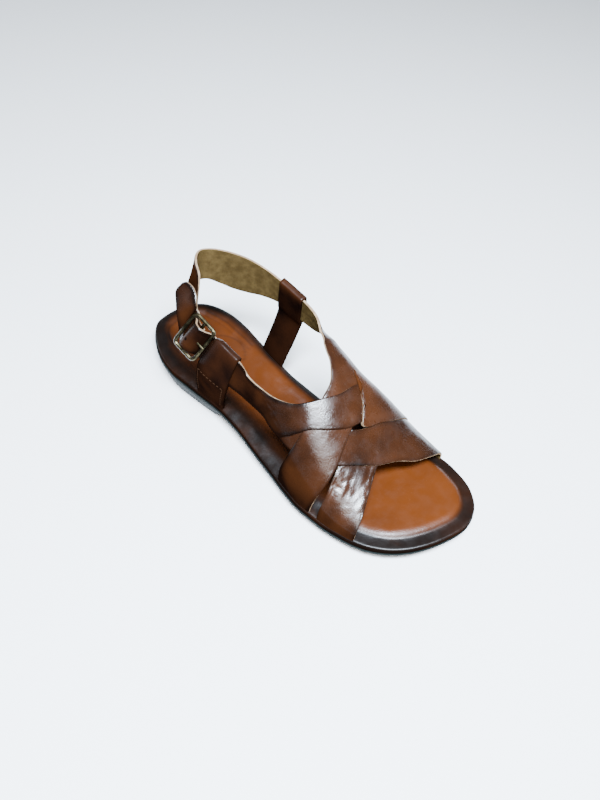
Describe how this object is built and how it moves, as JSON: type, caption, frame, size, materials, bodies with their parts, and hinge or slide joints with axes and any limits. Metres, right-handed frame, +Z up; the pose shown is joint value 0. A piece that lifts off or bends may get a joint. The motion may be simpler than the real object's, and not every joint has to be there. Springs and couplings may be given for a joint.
{
  "type": "cross-strap sandal",
  "caption": "Leather cross-strap sandal for the right foot, with an open toe, a buckled sling strap through two side loops, a padded footbed and a rubber sole.",
  "frame": {"origin": "middle of the bounding box's bottom face, on the floor under the sole", "axes": "+Z up, -Y towards the toe, -X towards the outer side of the foot, where the buckle is"},
  "size_m": [0.1073, 0.298, 0.1135],
  "materials": {
    "outsole": "matt black-green rubber",
    "footbed": "semi-matt tan leather, darker at its rim",
    "upper": "burnished glossy brown leather, suede inside, raw cut edges",
    "loops": "burnished brown leather",
    "metal": "antique brass"
  },
  "bodies": {
    "root": {"outsole": "outsole", "footbed": "footbed", "upper": "upper", "outer_loop": "loops", "inner_loop": "loops", "buckle": "metal", "prong": "metal"}
  },
  "joints": []
}
